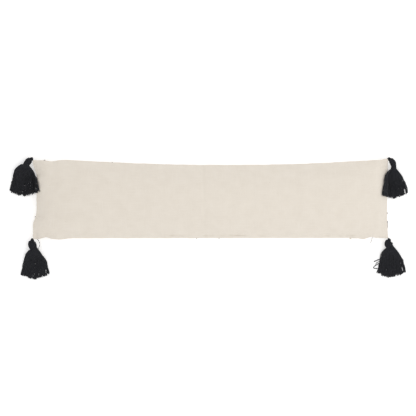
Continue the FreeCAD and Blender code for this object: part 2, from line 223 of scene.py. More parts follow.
# ---- studio ----
FLOOR_REACH = 12.0
FLOOR_TONE = 0.92
FLOOR_GLOW = 0.30
SKY_LIGHT = 0.78
KEY_SIZE = 2.6
KEY_POWER = 24
KEY_PLACE = (0.9, -0.25, 2.8)
CAMERA_PLACE = (-0.0084, -0.0311)
CAMERA_ABOVE_SEAM = 6.0
SEEN_WIDTH = 1.3978
SENSOR_WIDTH = 36.0           # millimetres


# ---- general ----
def smooth_step(t):
    t = np.clip(t, 0.0, 1.0)
    return t * t * (3.0 - 2.0 * t)


def bell(t):
    return np.exp(-t * t)


def unit(vectors):
    return vectors / np.maximum(np.linalg.norm(vectors, axis=-1, keepdims=True), 1e-12)


def new_piece(name, verts, faces, material, uvs=None):
    """A smooth mesh object; uvs holds one pair for each corner of each face, in the UV map 'weave'."""
    mesh = bpy.data.meshes.new(name)
    mesh.from_pydata(np.asarray(verts).tolist(), [], [list(map(int, f)) for f in faces])
    mesh.polygons.foreach_set("use_smooth", np.ones(len(mesh.polygons), bool))
    if uvs is not None:
        layer = mesh.uv_layers.new(name="weave")
        layer.data.foreach_set("uv", np.asarray(uvs, np.float32).ravel())
    mesh.materials.append(material)
    mesh.update()
    piece = bpy.data.objects.new(name, mesh)
    bpy.context.scene.collection.objects.link(piece)
    return piece


def noise_at(points, scale, seed):
    """Signed smooth noise at each point of an (n, 3) array."""
    offset = Vector((seed * 7.3, seed * 3.1, seed * 1.7))
    return np.array([noise.noise(Vector(p) * scale + offset) for p in points])


# ---- materials ----
class Nodes:
    """A small helper that adds and links shader nodes."""

    def __init__(self, name):
        self.material = bpy.data.materials.new(name)
        self.material.use_nodes = True
        self.tree = self.material.node_tree
        self.shader = self.tree.nodes["Principled BSDF"]

    def add(self, kind, settings=None, **inputs):
        node = self.tree.nodes.new(kind)
        for key, value in (settings or {}).items():
            setattr(node, key, value)
        for key, value in inputs.items():
            self.put(node, key, value)
        return node

    def put(self, node, key, value):
        socket = node.inputs[int(key[1:])] if key[0] == "i" and key[1:].isdigit() else node.inputs[key]
        if isinstance(value, bpy.types.NodeSocket):
            self.tree.links.new(value, socket)
        else:
            socket.default_value = value

    def math(self, operation, *values):
        node = self.add("ShaderNodeMath", {"operation": operation})
        for number, value in enumerate(values):
            self.put(node, f"i{number}", value)
        return node.outputs[0]

    def mapped(self, vector, scale):
        return self.add("ShaderNodeMapping", Vector=vector, Scale=scale).outputs[0]

    def noise(self, vector, scale, detail=2.0, rough=0.5):
        return self.add("ShaderNodeTexNoise", Vector=vector, Scale=scale, Detail=detail,
                        Roughness=rough).outputs["Fac"]

    def ramp(self, value, low, high):
        """0 at low and 1 at high."""
        node = self.add("ShaderNodeMapRange", Value=value)
        node.inputs["From Min"].default_value = low
        node.inputs["From Max"].default_value = high
        return node.outputs[0]

    def spread(self, value, low, high):
        """From low where the value is 0 to high where it is 1."""
        node = self.add("ShaderNodeMapRange", Value=value)
        node.inputs["To Min"].default_value = low
        node.inputs["To Max"].default_value = high
        return node.outputs[0]

    def mix(self, factor, a, b):
        node = self.add("ShaderNodeMix", {"data_type": "RGBA"})
        self.put(node, "i0", factor)
        self.put(node, "i6", a)
        self.put(node, "i7", b)
        return node.outputs[2]

    def bump(self, height, distance, strength=1.0):
        node = self.add("ShaderNodeBump", Height=height, Distance=distance, Strength=strength)
        self.tree.links.new(node.outputs[0], self.shader.inputs["Normal"])

    def surface(self, colour, roughness, **sockets):
        self.put(self.shader, "Base Color", colour)
        self.put(self.shader, "Roughness", roughness)
        for key, value in sockets.items():
            self.shader.inputs[key.replace("_", " ")].default_value = value


def woven_height(nodes, uv, pitch):
    """Plain weave: the yarns of both directions go over each other in turn."""
    split = nodes.add("ShaderNodeSeparateXYZ", Vector=nodes.mapped(uv, (math.pi / pitch,) * 3))
    across = nodes.math("SINE", split.outputs[0])
    along = nodes.math("SINE", split.outputs[1])
    crossing = nodes.math("MULTIPLY", across, along)
    return nodes.math("MULTIPLY_ADD", crossing, 0.5, 0.5)


def cotton_material():
    """Natural cotton: plain weave with slubs both ways, mottling, sparse flecks and painted shade at the
    seams.
    """
    nodes = Nodes("natural_cotton")
    uv = nodes.add("ShaderNodeUVMap", {"uv_map": "weave"}).outputs[0]
    weave = woven_height(nodes, uv, COTTON_PITCH)
    slub_weft = nodes.ramp(nodes.noise(nodes.mapped(uv, (14, 620, 1)), 1.0, 3.0), 0.50, 0.74)
    slub_warp = nodes.ramp(nodes.noise(nodes.mapped(uv, (620, 17, 1)), 1.0, 3.0), 0.52, 0.76)
    slubs = nodes.math("MAXIMUM", slub_weft, slub_warp)
    mottle = nodes.ramp(nodes.noise(uv, 26.0, 5.0, 0.6), 0.30, 0.72)
    fleck = nodes.ramp(nodes.noise(nodes.mapped(uv, (260, 420, 1)), 1.0, 0.0), 0.845, 0.875)
    colour = nodes.mix(mottle, COTTON_DARK, COTTON)
    colour = nodes.mix(nodes.math("MULTIPLY", slubs, 0.55), colour, COTTON_PALE)
    # Painted shade: the weave's low points are darkened a little towards COTTON_DARK.
    weave_hollow_shade_ramp = nodes.ramp(weave, -0.5, 0.1)
    colour = nodes.mix(nodes.math("MULTIPLY", nodes.math("SUBTRACT", 1.0, weave_hollow_shade_ramp), 0.10), colour, COTTON_DARK)
    # Painted shade: the cloth is darkened towards COTTON_DARK within a few millimetres of each seam, where it
    # turns into the seam's groove.
    seam = nodes.add("ShaderNodeAttribute", {"attribute_name": "seam"}).outputs["Fac"]
    colour = nodes.mix(nodes.math("MULTIPLY", seam, 0.30), colour, COTTON_DARK)
    colour = nodes.mix(nodes.math("MULTIPLY", fleck, 0.55), colour, COTTON_FLECK)
    height = nodes.math("ADD", nodes.math("MULTIPLY", weave, 0.6), nodes.math("MULTIPLY", slubs, 0.9))
    nodes.surface(colour, nodes.spread(slubs, 0.95, 0.82), Sheen_Weight=0.12, Sheen_Roughness=0.6,
                  Specular_IOR_Level=0.25)
    nodes.bump(height, 0.00022, 0.7)
    return nodes.material


def ticking_material():
    """Plain fine weave of the insert's case."""
    nodes = Nodes("insert_ticking")
    uv = nodes.add("ShaderNodeUVMap", {"uv_map": "weave"}).outputs[0]
    weave = woven_height(nodes, uv, TICKING_PITCH)
    mottle = nodes.ramp(nodes.noise(uv, 30.0, 3.0), 0.3, 0.7)
    nodes.surface(nodes.mix(mottle, *TICKING_TONES), 0.9)
    nodes.bump(weave, 0.00012, 0.6)
    return nodes.material


def grained_material(name, tones, roughness, scale, bump=0.0002):
    """Two close tones mixed by noise, which also roughens the surface."""
    nodes = Nodes(name)
    place = nodes.add("ShaderNodeTexCoord").outputs["Object"]
    grain = nodes.noise(nodes.mapped(place, (1, 1, 1)), scale, 4.0, 0.6)
    nodes.surface(nodes.mix(nodes.ramp(grain, 0.3, 0.7), *tones),
                  nodes.spread(grain, roughness - 0.08, min(roughness + 0.08, 1.0)))
    nodes.bump(grain, bump, 0.6)
    return nodes.material


def ribbed_material(name, tones, pitch, roughness, bump):
    """Regular ribs across the length, as on a zip's tape and coil, with painted shade between the ribs."""
    nodes = Nodes(name)
    place = nodes.add("ShaderNodeTexCoord").outputs["Object"]
    split = nodes.add("ShaderNodeSeparateXYZ", Vector=nodes.mapped(place, (2 * math.pi / pitch,) * 3))
    rib = nodes.math("SINE", split.outputs[0])
    grain = nodes.noise(place, 900.0, 2.0)
    # Painted shade: the colour follows the ribs, darker in their hollows and paler on their crests, with
    # random grain on top.
    rib_shade_and_grain = nodes.ramp(nodes.math("ADD", rib, nodes.math("MULTIPLY", grain, 0.8)), -0.8, 1.4)
    nodes.surface(nodes.mix(rib_shade_and_grain, *tones), roughness)
    nodes.bump(rib, bump, 0.8)
    return nodes.material


def yarn_material(name, tones):
    """Soft plied cotton yarn: twist grooves from the tube's own UV map, and fibre fuzz."""
    nodes = Nodes(name)
    uv = nodes.add("ShaderNodeUVMap", {"uv_map": "weave"}).outputs[0]
    place = nodes.add("ShaderNodeTexCoord").outputs["Object"]
    split = nodes.add("ShaderNodeSeparateXYZ", Vector=uv)
    around = nodes.math("MULTIPLY", split.outputs[0], 2 * math.pi * 6)
    along = nodes.math("MULTIPLY", split.outputs[1], 2 * math.pi * 9)
    twist = nodes.math("SINE", nodes.math("ADD", around, along))
    fibres = nodes.noise(place, 2600.0, 3.0, 0.7)
    patches = nodes.noise(place, 160.0, 3.0, 0.6)
    # Painted shade: the twist grooves darken the colour; the fibre and patch noise add random tone.
    twist_shade_and_fibre_tone = nodes.math("ADD", nodes.math("MULTIPLY", twist, 0.16), nodes.math("MULTIPLY", fibres, 0.7))
    twist_shade_and_fibre_tone = nodes.math("ADD", twist_shade_and_fibre_tone, nodes.math("MULTIPLY", patches, 0.6))
    nodes.surface(nodes.mix(nodes.ramp(twist_shade_and_fibre_tone, 0.35, 0.95), *tones), nodes.spread(fibres, 0.86, 1.0),
                  Sheen_Weight=0.10, Sheen_Roughness=0.45, Specular_IOR_Level=0.2)
    nodes.bump(nodes.math("ADD", twist, nodes.math("MULTIPLY", fibres, 1.2)), 0.00018, 0.8)
    return nodes.material


# ---- the cover's shape ----
def crown(u, v):
    return (np.maximum(1 - u ** END_FALL, 0) * np.maximum(1 - v ** 2, 0)) ** CROWN_POWER


def seam_height(u, v):
    droop = smooth_step((np.abs(u) - DROOP_START) / (1 - DROOP_START))
    return SEAM_Z + (CORNER_Z + (END_Z - CORNER_Z) * (1 - v ** 2) - SEAM_Z) * droop


def even_stations(cells, profile):
    """Parameters from -1 to 1 that are evenly spaced along a profile of (place, height)."""
    t = np.linspace(-1, 1, 4001)
    place, height = profile(t)
    run = np.concatenate([[0], np.cumsum(np.hypot(np.diff(place), np.diff(height)))])
    return np.interp(np.linspace(0, run[-1], cells + 1), run, t)


def waver(t, phase):
    """Slow uneven wobble between -1 and 1, for t in metres."""
    return (np.sin(t * 57.0 + phase) + np.sin(t * 88.0 + 2.3 * phase) + np.sin(t * 146.0 + 4.1 * phase)) / 3


def plan(u, v):
    """Plan position: drawn-in seams, ears at the corners, waves near them and ripples where the zip ends."""
    pull_left = LEFT_PULL * smooth_step((0.93 - v) / 0.33) * smooth_step((v + 0.68) / 0.4)
    pull_right = RIGHT_PULL * (1 - v ** 2)
    pull = np.where(u < 0, pull_left, pull_right) * np.abs(u) ** 6
    x = u * HALF_LENGTH - np.sign(u) * pull
    x = x + EDGE_WAVER * waver(v * HALF_HEIGHT, 2.0) * u ** 9 * (1 - v ** 8)
    high = ((1 + v) / 2) ** 2
    low = ((1 - v) / 2) ** 3
    y = v * HALF_HEIGHT - TOP_PULL * (1 - np.minimum(np.abs(u - PULL_CENTRE), 1) ** 2.6) ** 2 * high
    top = TOP_LEAN * (u - 0.6) + TOP_RIGHT_RISE * smooth_step((u - 0.955) / 0.03)
    top = top - TOP_LEFT_FALL * smooth_step((-u - 0.2) / 0.6)
    for place, rise, reach in TOP_WAVES:
        top = top + rise * bell((x - place) / reach)
    bottom = BOTTOM_LEAN * (u + 1)
    for place, rise, reach in BOTTOM_WAVES:
        bottom = bottom + rise * bell((x - place) / reach)
    bottom = bottom - BOTTOM_RIGHT_FALL * smooth_step((x - 0.560) / 0.03)
    ends = 1 - u ** 10
    y = y + high * (top + EDGE_WAVER * waver(x, 0.7) * ends)
    y = y + low * (bottom + EDGE_WAVER * waver(x, 1.9) * ends)
    ear = CORNER_EAR * smooth_step((np.abs(u) - 0.975) / 0.025) * smooth_step((np.abs(v) - 0.90) / 0.10)
    return x + np.sign(u) * ear, y + np.sign(v) * ear


def start_grid(side):
    """Start shape of one panel: an array of points, stations long by stations across."""
    us = even_stations(CELLS_LONG, lambda t: (HALF_LENGTH * t, CROWN_UP * crown(t, 0)))
    vs = even_stations(CELLS_ACROSS, lambda t: (HALF_HEIGHT * t, CROWN_UP * crown(0, t)))
    u, v = np.meshgrid(us, vs, indexing="ij")
    x, y = plan(u, v)
    rise = CROWN_UP if side > 0 else -CROWN_DOWN
    z = np.maximum(seam_height(u, v) + rise * crown(u, v), 0.0)
    return np.stack([x, y, z], axis=-1)


def flat_grid(rows, columns):
    x = np.linspace(-FLAT_LENGTH / 2, FLAT_LENGTH / 2, rows)
    y = np.linspace(-FLAT_HEIGHT / 2, FLAT_HEIGHT / 2, columns)
    return np.stack([*np.meshgrid(x, y, indexing="ij"), np.zeros((rows, columns))], axis=-1)


def seam_distances(flat):
    """Distance of the flat-cut panel's points from its long seams and from its ends."""
    return FLAT_HEIGHT / 2 - np.abs(flat[..., 1]), FLAT_LENGTH / 2 - np.abs(flat[..., 0])


def closed_indices(rows, columns, is_open):
    """Vertex numbers of an upper and a lower grid with one rim, apart in column 0 where is_open(row)."""
    upper = np.arange(rows * columns).reshape(rows, columns)
    lower = np.full((rows, columns), -1)
    lower[0, :] = upper[0, :]
    lower[-1, :] = upper[-1, :]
    lower[:, 0] = upper[:, 0]
    lower[:, -1] = upper[:, -1]
    lower[[row for row in range(rows) if is_open(row)], 0] = -1
    free = lower < 0
    lower[free] = rows * columns + np.arange(free.sum())
    return upper, lower, free


def quads_of(index, flip):
    a, b = index[:-1, :-1].ravel(), index[1:, :-1].ravel()
    c, d = index[1:, 1:].ravel(), index[:-1, 1:].ravel()
    return np.stack([a, d, c, b] if flip else [a, b, c, d], axis=1)


def inflate(upper_start, lower_start):
    """Cloth simulation: flat-cut panels, sewn along the drawn-in outline, swell under the fill's pressure."""
    rows, columns = upper_start.shape[:2]
    upper, lower, free = closed_indices(rows, columns, lambda row: False)
    verts = np.concatenate([upper_start.reshape(-1, 3), lower_start[free]])
    faces = np.concatenate([quads_of(upper, False), quads_of(lower, True)])
    piece = new_piece("swelling", verts, faces, bpy.data.materials.new("plain"))
    flat = flat_grid(rows, columns)
    piece.shape_key_add(name="Basis")
    cut = piece.shape_key_add(name="cut")
    cut.data.foreach_set("co", np.concatenate([flat.reshape(-1, 3), flat[free]]).astype(np.float32).ravel())
    rim = piece.vertex_groups.new(name="rim")
    rim_points = np.unique(np.concatenate([upper[0], upper[-1], upper[:, 0], upper[:, -1]]))
    rim.add(rim_points.tolist(), 1.0, "ADD")
    cloth = piece.modifiers.new("swell", "CLOTH")
    settings = cloth.settings
    settings.quality = 4
    settings.mass = 0.3
    settings.vertex_group_mass = "rim"
    settings.rest_shape_key = cut
    settings.use_pressure = True
    settings.uniform_pressure_force = PRESSURE
    settings.tension_stiffness = 15
    settings.compression_stiffness = 15
    settings.shear_stiffness = 5
    settings.bending_stiffness = 0.6
    settings.effector_weights.gravity = 0.0
    cloth.collision_settings.use_collision = False
    scene = bpy.context.scene
    for step in range(1, SWELL_FRAMES + 1):
        scene.frame_set(step)
    shown = piece.evaluated_get(bpy.context.evaluated_depsgraph_get())
    swollen = np.empty(len(shown.data.vertices) * 3, np.float32)
    shown.data.vertices.foreach_get("co", swollen)
    swollen = swollen.reshape(-1, 3).astype(float)
    scene.frame_set(1)
    bpy.data.objects.remove(piece)
    move = swollen - verts
    far = np.linalg.norm(move, axis=1, keepdims=True)
    result = verts + move * np.minimum(1.0, SWELL_CAP / np.maximum(far, 1e-9))
    return result[upper], result[lower]


def between(grid):
    """Doubles a grid's rows: new points lie on the cubic through their four neighbours."""
    padded = np.concatenate([2 * grid[:1] - grid[1:2], grid, 2 * grid[-1:] - grid[-2:-1]])
    middle = (-padded[:-3] + 9 * padded[1:-2] + 9 * padded[2:-1] - padded[3:]) / 16
    result = np.empty((2 * len(grid) - 1,) + grid.shape[1:])
    result[::2] = grid
    result[1::2] = middle
    return result


def refine(grid):
    return between(between(grid).transpose(1, 0, 2)).transpose(1, 0, 2)


def grid_normals(grid, side):
    return side * unit(np.cross(np.gradient(grid, axis=0), np.gradient(grid, axis=1)))


def wrinkled(grid, side):
    """Puckers along the seams, crumpled corners, soft fill lumps and the storage creases."""
    rows, columns = grid.shape[:2]
    flat = flat_grid(rows, columns)
    x, y = flat[..., 0], flat[..., 1]
    to_long, to_end = seam_distances(flat)
    nearest = np.minimum(to_long, to_end)
    points = flat.reshape(-1, 3)
    seed = 5 if side > 0 else 6

    def field(scale_x, scale_y, salt):
        return noise_at(points * np.array([scale_x, scale_y, 1.0]), 1.0, seed + salt).reshape(rows, columns)

    long_puckers = field(58, 9, 0) + 0.6 * field(120, 14, 1)
    end_puckers = field(9, 62, 2) + 0.6 * field(12, 120, 3)
    lumps = field(9, 12, 4)
    crumple = field(40, 40, 5) + 0.7 * field(85, 85, 6)
    creased = field(150, 150, 8)
    corner = bell(np.hypot(to_long, to_end) / 0.085)
    edge = bell(to_end / 0.030) + 0.4 * bell(to_long / 0.016)
    depth = LONG_PUCKERS * bell(to_long / 0.028) * long_puckers
    depth = depth + END_PUCKERS * bell(to_end / 0.034) * end_puckers
    depth = depth + FILL_LUMPS * lumps + CORNER_CRUMPLE * corner * crumple
    depth = depth + FINE_UNEVENNESS * field(70, 70, 7)
    depth = depth + FINE_CREASES * (corner + 0.5 * edge) * creased
    if side > 0:
        depth = depth - MIDDLE_CREASE * bell((x + 0.022 + 0.010 * y / FLAT_HEIGHT) / 0.006)
        fold_share = bell((to_end - 0.03) / 0.035) * (x < 0)
        depth = depth - END_FOLDS[0] * fold_share * bell((y + 0.052 + 0.25 * (x + FLAT_LENGTH / 2)) / 0.007)
        depth = depth - END_FOLDS[1] * fold_share * bell((y - 0.078 - 0.35 * (x + FLAT_LENGTH / 2)) / 0.008)
    depth = depth * smooth_step(nearest / 0.006)
    return grid + depth[..., None] * grid_normals(grid, side)


def rolled_edge(grid):
    """The cloth beside each seam stands a little proud of it, so that the seam sits in a groove."""
    flat = flat_grid(*grid.shape[:2])
    to_long, to_end = seam_distances(flat)
    roll = SEAM_ROLL * smooth_step(to_long / 0.003) * bell(to_long / 0.009)
    grid[..., 1] += np.sign(flat[..., 1]) * roll
    roll = SEAM_ROLL * smooth_step(to_end / 0.003) * bell(to_end / 0.009)
    grid[..., 0] += np.sign(flat[..., 0]) * roll
    return grid


def cover_grids():
    """Final upper and lower grids of the cover, and the coarser ones before wrinkling."""
    upper, lower = start_grid(1), start_grid(-1)
    upper, lower = inflate(upper, lower)
    upper[..., 2] = np.minimum(upper[..., 2], TOP_LIMIT - 0.004)
    lower[..., 2] = np.maximum(lower[..., 2], 0.0)
    coarse = (upper.copy(), lower.copy())
    upper = rolled_edge(wrinkled(refine(upper), 1))
    lower = rolled_edge(wrinkled(refine(lower), -1))
    for edge in (0, -1):
        lower[edge] = upper[edge]
        lower[:, edge] = upper[:, edge]
    lower[..., 2] = np.maximum(lower[..., 2], 0.0)
    return upper, lower, coarse


def cover_piece(upper, lower, material):
    """The sewn cover: two panels with a common rim, apart where the zip's slit runs."""
    rows, columns = upper.shape[:2]
    flat = flat_grid(rows, columns)
    on_slit = np.abs(upper[:, 0, 0]) < SLIT_HALF_LENGTH
    upper_index, lower_index, free = closed_indices(rows, columns, lambda row: on_slit[row])
    gap = LIP_HALF_GAP * smooth_step((SLIT_HALF_LENGTH - np.abs(upper[:, 0, 0])) / 0.012)
    upper[:, 0, 2] += gap
    lower = lower.copy()
    lower[:, 0] = upper[:, 0]
    lower[on_slit, 0, 2] -= 2 * gap[on_slit]
    verts = [upper.reshape(-1, 3), lower[free]]
    faces = [quads_of(upper_index, False), quads_of(lower_index, True)]
    uv_of = [flat.reshape(-1, 3)[:, :2], flat[free][:, :2]]
    count = len(verts[0]) + len(verts[1])
    slit_rows = np.nonzero(on_slit)[0]
    for index, flip in ((upper_index, True), (lower_index, False)):
        lip = np.concatenate(verts)[index[slit_rows, 0]]
        turned = lip + np.array([0.0, LIP_DEPTH, 0.0])
        inner = count + np.arange(len(slit_rows))
        verts.append(turned)
        uv_of.append(flat[slit_rows, 0, :2] - np.array([0.0, LIP_DEPTH]))
        strip = np.stack([index[slit_rows, 0], inner], axis=1)
        faces.append(quads_of(strip, flip))
        count += len(slit_rows)
    faces = np.concatenate(faces)
    corner_uv = np.concatenate(uv_of)[faces.ravel()]
    piece = new_piece("cover", np.concatenate(verts), faces, material, corner_uv)
    # The 'seam' attribute drives painted shade: 1 at the seams, falling off over a few millimetres.
    distance = np.minimum(*seam_distances(np.concatenate(uv_of)))
    seam = piece.data.attributes.new("seam", "FLOAT", "POINT")
    seam.data.foreach_set("value", bell(np.maximum(distance, 0) / 0.0035).astype(np.float32))
    return piece


def layer_piece(name, coarse, depth, inset, material):
    """A closed body inside the cover: depth under its skin, its rim inset from the seams."""
    rows, columns = coarse[0].shape[:2]
    plan_scale = np.array([1 - inset / HALF_LENGTH, 1 - inset / HALF_HEIGHT, 1.0])
    upper, lower = coarse[0] * plan_scale, coarse[1] * plan_scale
    keep = 1 - depth / CROWN_UP
    upper[..., 2] = SEAM_Z + (coarse[0][..., 2] - SEAM_Z) * keep
    lower[..., 2] = np.maximum(SEAM_Z + (coarse[1][..., 2] - SEAM_Z) * keep, depth)
    upper_index, lower_index, free = closed_indices(rows, columns, lambda row: False)
    verts = np.concatenate([upper.reshape(-1, 3), lower[free]])
    faces = np.concatenate([quads_of(upper_index, False), quads_of(lower_index, True)])
    flat = flat_grid(rows, columns)
    uv = np.concatenate([flat.reshape(-1, 3)[:, :2], flat[free][:, :2]])[faces.ravel()]
    return new_piece(name, verts, faces, material, uv)


# ---- yarn ----
def tube_faces(stations, sides):
    """Faces of a closed tube whose points are rings, one after the other."""
    index = np.arange(stations * sides).reshape(stations, sides)
    after = np.roll(index, -1, axis=1)
    quads = np.stack([index[:-1], after[:-1], after[1:], index[1:]], axis=-1).reshape(-1, 4)
    return [tuple(quad) for quad in quads] + [tuple(index[0, ::-1]), tuple(index[-1])]


def plied_tubes(paths, references, radius, phases):
    """Vertices, faces and corner UVs of closed plied yarns along paths (strands, stations, 3)."""
    strands, stations = paths.shape[:2]
    tangents = unit(np.gradient(paths, axis=1))
    side = unit(np.cross(tangents, references))
    up = np.cross(side, tangents)
    steps = np.linalg.norm(np.diff(paths, axis=1), axis=2)
    run = np.concatenate([np.zeros((strands, 1)), np.cumsum(steps, axis=1)], axis=1)
    turn = 2 * math.pi * run / PLY_PITCH + phases[:, None]
    angle = 2 * math.pi * np.arange(YARN_SIDES) / YARN_SIDES
    lobes = 1 - PLY_DEPTH + PLY_DEPTH * np.cos(PLIES * (angle - turn[..., None]))
    reach = (np.broadcast_to(radius, run.shape)[..., None] * lobes)[..., None]
    around = np.cos(angle)[:, None] * side[:, :, None, :] + np.sin(angle)[:, None] * up[:, :, None, :]
    verts = (paths[:, :, None, :] + reach * around).reshape(-1, 3)
    ring = np.arange(strands * stations * YARN_SIDES).reshape(strands, stations, YARN_SIDES)
    after = np.roll(ring, -1, axis=2)
    quads = np.stack([ring[:, :-1], after[:, :-1], after[:, 1:], ring[:, 1:]], axis=-1).reshape(-1, 4)
    u0 = np.broadcast_to(np.arange(YARN_SIDES) / YARN_SIDES, (strands, stations - 1, YARN_SIDES))
    u1 = u0 + 1 / YARN_SIDES
    v0 = np.broadcast_to((run / PLY_PITCH)[:, :-1, None], u0.shape)
    v1 = np.broadcast_to((run / PLY_PITCH)[:, 1:, None], u0.shape)
    uv = np.stack([np.stack(pair, axis=-1) for pair in ((u0, v0), (u1, v0), (u1, v1), (u0, v1))], axis=-2)
    caps = [tuple(ring[s, 0, ::-1]) for s in range(strands)] + [tuple(ring[s, -1]) for s in range(strands)]
    faces = [tuple(q) for q in quads] + caps
    uvs = np.concatenate([uv.reshape(-1, 2), np.full((len(caps) * YARN_SIDES, 2), 0.25)])
    return verts, faces, uvs


def joined(groups):
    """Several (verts, faces, uvs) as one."""
    verts, faces, uvs, count = [], [], [], 0
    for v, f, t in groups:
        verts.append(v)
        faces += [tuple(i + count for i in face) for face in f]
        uvs.append(t)
        count += len(v)
    return np.concatenate(verts), faces, np.concatenate(uvs)


def resampled(points, count, length=None):
    """The polyline with evenly spaced points, cut at length."""
    steps = np.linalg.norm(np.diff(points, axis=0), axis=1)
    run = np.concatenate([[0], np.cumsum(steps)])
    wanted = np.linspace(0, min(length or run[-1], run[-1]), count)
    return np.stack([np.interp(wanted, run, points[:, k]) for k in range(3)], axis=1)


def smoothed(values, passes):
    for _ in range(passes):
        values[1:-1] = 0.25 * values[:-2] + 0.5 * values[1:-1] + 0.25 * values[2:]
    return values


class Tassel:
    """The places of one tassel, from its joints and its CAD nodes."""

    def __init__(self, name, cover_height):
        self.name = name
        self.pose = TASSEL_POSE[name]
        self.random = np.random.default_rng(self.pose["seed"])
        self.lock_lengths = self.random.uniform(-LOCK_UNEVENNESS, LOCK_UNEVENNESS, LOCKS + 1)
        self.anchor = np.array(JOINTS[f"tassel_{name}_swing"]["pos_m"])
        lift = JOINTS[f"tassel_{name}_lift"]
        self.hinge = np.array(lift["pos_m"])
        low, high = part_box(f"tassel_{name}_neck_binding")
        self.neck = np.array((low + high) / 2)
        self.cover_height = cover_height
        turn = math.radians(self.pose["turn"])
        self.down = np.array([math.sin(turn), -math.cos(turn), 0.0])
        self.right = np.array([math.cos(turn), math.sin(turn), 0.0])

    def head_spine(self, count):
        """From the fold to just past the neck, bowed aside as the head lies."""
        t = np.linspace(0, 1, count)[:, None]
        bow = np.array([*self.pose["head_bow"], 0.0])
        end = self.neck + NECK_PAST * self.down
        middle = (self.hinge + self.neck) / 2 + 2 * bow
        return (1 - t) ** 2 * self.hinge + 2 * t * (1 - t) * middle + t ** 2 * end

    def loop(self):
        """A hank of plied yarn, turned several times round the anchor thread and through the head's fold."""
        level = unit(self.hinge - self.anchor)
        across = np.array([-level[1], level[0], 0.0])
        angle = np.linspace(0, 2 * math.pi, 41)[:, None]
        middle = (self.anchor + self.hinge) / 2
        reach = np.linalg.norm(self.hinge - self.anchor) / 2 + 0.0022
        turns = []
        for lift, wide, slip in LOOP_TURNS:
            path = middle + level * slip + level * reach * np.cos(angle) + across * wide * np.sin(angle)
            path[:, 2] += lift + 0.0006 * np.sin(2 * angle[:, 0])
            turns.append(path)
        paths = np.array(turns)
        references = np.broadcast_to(np.array([0, 0, 1.0]), paths.shape)
        return plied_tubes(paths, references, LOOP_YARN_RADIUS, 1.5 * np.arange(len(LOOP_TURNS)))

    def head(self):
        """Yarns that fold through the loop and run round the tassel's core to the neck."""
        spine = self.head_spine(HEAD_STATIONS)
        along = unit(np.gradient(spine, axis=0))
        across = unit(np.cross(along, np.array([0, 0, 1.0])))
        above = np.cross(across, along)
        t = np.linspace(0, 1, HEAD_STATIONS)
        wide = smoothed(np.interp(t, HEAD_SHARES, HEAD_WIDE), 2) * self.pose["head_width"]
        thick = smoothed(np.interp(t, HEAD_SHARES, HEAD_THICK), 2)
        paths, references = [], []
        for k in range(HEAD_STRANDS):
            angle = 2 * math.pi * (k + 0.3 * self.random.uniform(-1, 1)) / HEAD_STRANDS
            twist = angle + 0.5 * (t - 0.5) + 0.12 * np.sin(6 * t + k)
            swell = 1 + 0.07 * self.random.uniform(-1, 1) * np.sin(math.pi * t)
            out = np.cos(twist)[:, None] * across + np.sin(twist)[:, None] * above
            aside = (np.cos(twist) * wide * swell)[:, None] * across
            raised = (np.sin(twist) * thick * swell)[:, None] * above
            paths.append(spine + (aside + raised))
            references.append(out)
        yarns = plied_tubes(np.array(paths), np.array(references), YARN_RADIUS,
                            self.random.uniform(0, 6, HEAD_STRANDS))
        core_angle = np.linspace(0, 2 * math.pi, CORE_SIDES + 1)[:-1]
        aside = np.cos(core_angle)[:, None] * across[:, None, :] * wide[:, None, None]
        raised = np.sin(core_angle)[:, None] * above[:, None, :] * thick[:, None, None]
        rings = spine[:, None, :] + CORE_SHARE * (aside + raised)
        faces = tube_faces(HEAD_STATIONS, CORE_SIDES)
        uvs = np.full((sum(len(face) for face in faces), 2), 0.3)
        return joined([yarns, (rings.reshape(-1, 3), faces, uvs)])

    def wrap(self):
        """Yarn wound round the neck."""
        along = unit(self.neck + NECK_PAST * self.down - self.head_spine(9)[5])
        across = unit(np.cross(along, np.array([0, 0, 1.0])))
        above = np.cross(across, along)
        t = np.linspace(0, 1, 30 * WRAP_TURNS)
        angle = 2 * math.pi * WRAP_TURNS * t
        rise = (t - 0.5) * (WRAP_TURNS - 0.6) * WRAP_PITCH
        out = np.cos(angle)[:, None] * across + np.sin(angle)[:, None] * above
        offset = np.cos(angle)[:, None] * across * NECK_WIDE + np.sin(angle)[:, None] * above * NECK_THICK
        path = self.neck + rise[:, None] * along + offset
        return plied_tubes(path[None], out[None], WRAP_RADIUS, np.zeros(1))

    def skirt(self):
        """The cut yarns: a fan of nearly equal lengths that settles on the floor, or on the pillow."""
        drop = np.linspace(0, SKIRT_DROP, 120)
        left = smoothed(np.interp(drop, *zip(*FAN_LEFT)), 3) * self.pose["fan"][0]
        right = smoothed(np.interp(drop, *zip(*FAN_RIGHT)), 3) * self.pose["fan"][1]
        paths = []
        total = SKIRT_LAYERS * STRANDS_PER_LAYER
        for number in range(total):
            layer, place = divmod(number, STRANDS_PER_LAYER)
            level = (layer + 0.5) / SKIRT_LAYERS
            spread = 2 * (place + 0.5 + self.random.uniform(-0.28, 0.28)) / STRANDS_PER_LAYER - 1
            spread *= 1.0 - 0.10 * level
            paths.append(self.strand(drop, left, right, spread, level))
        paths = np.array(paths)
        radius = YARN_RADIUS * self.random.uniform(0.93, 1.07, (total, 1)) * np.ones(paths.shape[1])
        radius *= max(self.pose["fan"])
        radius[:, -1] *= 0.72
        radius[:, -3:-1] *= 1.06
        references = np.broadcast_to(np.array([0, 0, 1.0]), paths.shape)
        groups = [plied_tubes(paths, references, radius, self.random.uniform(0, 6, total))]
        for thin, points in LOOSE_YARNS[self.name]:
            groups.append(self.loose_yarn(thin, points))
        return joined(groups)

